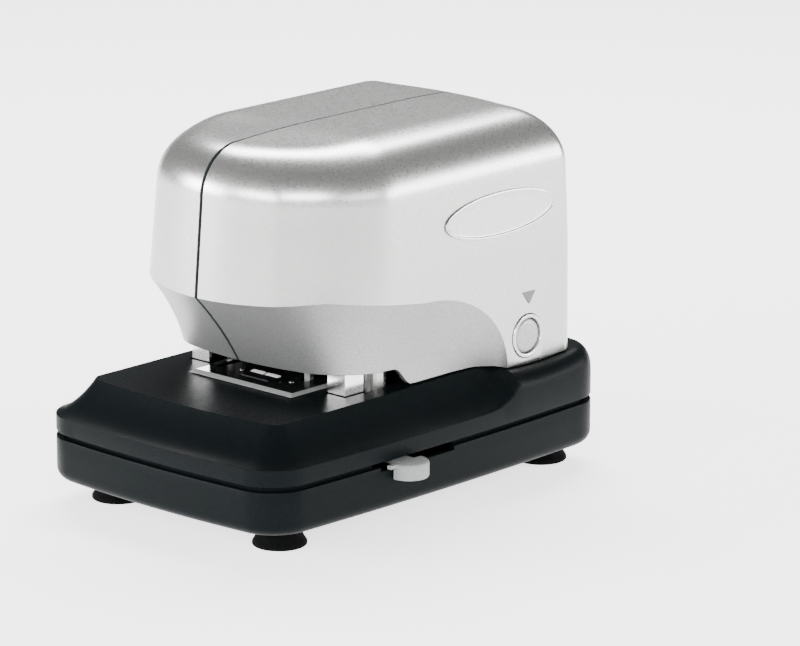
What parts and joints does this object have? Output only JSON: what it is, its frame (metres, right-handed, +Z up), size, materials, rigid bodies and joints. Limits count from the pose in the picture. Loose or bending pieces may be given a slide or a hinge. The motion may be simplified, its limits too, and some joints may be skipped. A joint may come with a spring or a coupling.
{
  "type": "electric stapler",
  "caption": "Desktop electric stapler: silver two-part head over a black base on rubber feet, with paper throat, depth knob, release button and a cartridge drawer.",
  "frame": {"origin": "on the table top under the middle of the object's bounding box; the head's middle plane is at x = -0.0044 because the knob stands out on +X only", "axes": "+Z up, +Y from the paper throat (front) to the cartridge drawer (back), +X to the right, where the button, oval plate and knob are"},
  "size_m": [0.1388, 0.19, 0.1437],
  "materials": {
    "silver_paint": "ABS with satin silver metallic paint, very fine grain",
    "black_plastic": "fine-textured black ABS",
    "grey_plastic": "moulded light grey plastic",
    "rubber": "matte black rubber",
    "steel": "zinc-plated steel",
    "bright_steel": "bright plated steel",
    "plate_paint": "light grey bevel round a glossy dark face",
    "brass": "machined",
    "nylon": "natural nylon",
    "board_green": "green solder mask",
    "clear_plastic": "clear moulded plastic",
    "copper": "wound copper and lacquered core"
  },
  "bodies": {
    "base": {"head_shell_left": "silver_paint", "head_shell_right": "silver_paint", "badge_plate": "silver_paint", "button_bezel": "silver_paint", "base_tub": "black_plastic", "base_cover": "black_plastic", "power_inlet": "black_plastic", "switch_housing": "black_plastic", "foot_front_left": "rubber", "foot_front_right": "rubber", "foot_rear_left": "rubber", "foot_rear_right": "rubber", "motor_cable": "rubber", "foot_screw_front_left": "steel", "foot_screw_front_right": "steel", "foot_screw_rear_left": "steel", "foot_screw_rear_right": "steel", "frame_plate_left": "steel", "frame_plate_right": "steel", "tie_rod_lower": "steel", "tie_rod_middle": "steel", "tie_rod_upper": "steel", "idler_axle": "steel", "motor": "steel", "motor_bracket": "steel", "motor_spacer_upper": "steel", "motor_spacer_lower": "steel", "driver_guide": "steel", "return_spring_left": "steel", "return_spring_right": "steel", "clincher_housing": "steel", "anvil_insert": "bright_steel", "anvil_plate": "plate_paint", "circuit_board": "board_green", "transformer": "copper"},
    "drive": {"drive_shaft": "steel", "drive_cam": "steel", "cam_gear": "nylon"},
    "idler": {"idler_gear": "nylon"},
    "rotor": {"motor_pinion": "brass", "motor_shaft": "bright_steel"},
    "driver": {"driver_block": "steel", "driver_blade": "bright_steel"},
    "clincher_left": {"clincher_arm_left": "bright_steel"},
    "clincher_right": {"clincher_arm_right": "bright_steel"},
    "depth_guide": {"guide_carriage": "steel", "paper_stop_left": "bright_steel", "paper_stop_right": "bright_steel", "guide_post_left": "steel", "guide_post_right": "steel", "depth_knob": "grey_plastic"},
    "drawer": {"cartridge_drawer": "grey_plastic", "cartridge_case": "clear_plastic", "staple_strip": "bright_steel"},
    "roll": {"staple_roll": "steel"},
    "button": {"push_button": "silver_paint"},
    "latch": {"latch_lever": "steel"},
    "paper_sensor": {"sensor_lever": "grey_plastic"},
    "rocker": {"power_rocker": "grey_plastic"}
  },
  "joints": [
    {"name": "drive_turn", "type": "hinge", "parent": "base", "child": "drive", "pos_m": [-0.0044, -0.039, 0.122], "axis": [1, 0, 0], "range_deg": [0, 180]},
    {"name": "idler_turn", "type": "hinge", "parent": "base", "child": "idler", "pos_m": [-0.0324, -0.017, 0.1081], "axis": [1, 0, 0], "range_deg": [-210.1, 0]},
    {"name": "rotor_turn", "type": "hinge", "parent": "base", "child": "rotor", "pos_m": [-0.0324, -0.0018, 0.1031], "axis": [1, 0, 0], "range_deg": [0, 630.1]},
    {"name": "driver_slide", "type": "slide", "parent": "base", "child": "driver", "axis": [0, 0, -1], "range_m": [0, 0.01201], "deforming": ["return_spring_left", "return_spring_right"]},
    {"name": "clincher_left_swing", "type": "hinge", "parent": "base", "child": "clincher_left", "pos_m": [-0.0104, -0.0361, 0.0355], "axis": [0, 1, 0], "range_deg": [0, 12.1]},
    {"name": "clincher_right_swing", "type": "hinge", "parent": "base", "child": "clincher_right", "pos_m": [0.0016, -0.0361, 0.0355], "axis": [0, -1, 0], "range_deg": [0, 12.1]},
    {"name": "depth_slide", "type": "slide", "parent": "base", "child": "depth_guide", "axis": [0, 1, 0], "range_m": [0, 0.014]},
    {"name": "drawer_slide", "type": "slide", "parent": "base", "child": "drawer", "axis": [0, 1, 0], "range_m": [0, 0.13]},
    {"name": "roll_turn", "type": "hinge", "parent": "drawer", "child": "roll", "pos_m": [-0.0044, 0.017, 0.088], "axis": [1, 0, 0], "continuous": true},
    {"name": "button_press", "type": "slide", "parent": "base", "child": "button", "axis": [-1, 0, 0], "range_m": [0, 0.0025], "stiffness_N_per_m": 300, "springref_m": -0.001},
    {"name": "latch_turn", "type": "hinge", "parent": "base", "child": "latch", "pos_m": [0.0356, 0.061, 0.0578], "axis": [0, 0, -1], "range_deg": [0, 18.5]},
    {"name": "sensor_tip", "type": "hinge", "parent": "base", "child": "paper_sensor", "pos_m": [0.0096, -0.023, 0.033], "axis": [-1, 0, 0], "range_deg": [0, 35], "stiffness_Nm_per_rad": 0.004, "springref_deg": -5.73},
    {"name": "rocker_tip", "type": "hinge", "parent": "base", "child": "rocker", "pos_m": [-0.0424, 0.0895, 0.0188], "axis": [0, 0, 1], "range_deg": [0, 10]}
  ],
  "couplings": [
    {"joint": "idler_turn", "follows": "drive_turn", "ratio": -1.1667},
    {"joint": "rotor_turn", "follows": "drive_turn", "ratio": 3.5},
    {"joint": "driver_slide", "follows": "drive_turn", "m_per_rad": 0.0038197},
    {"joint": "clincher_left_swing", "follows": "drive_turn", "ratio": 0.066667},
    {"joint": "clincher_right_swing", "follows": "drive_turn", "ratio": 0.066667},
    {"joint": "latch_turn", "follows": "button_press", "rad_per_m": 128}
  ]
}
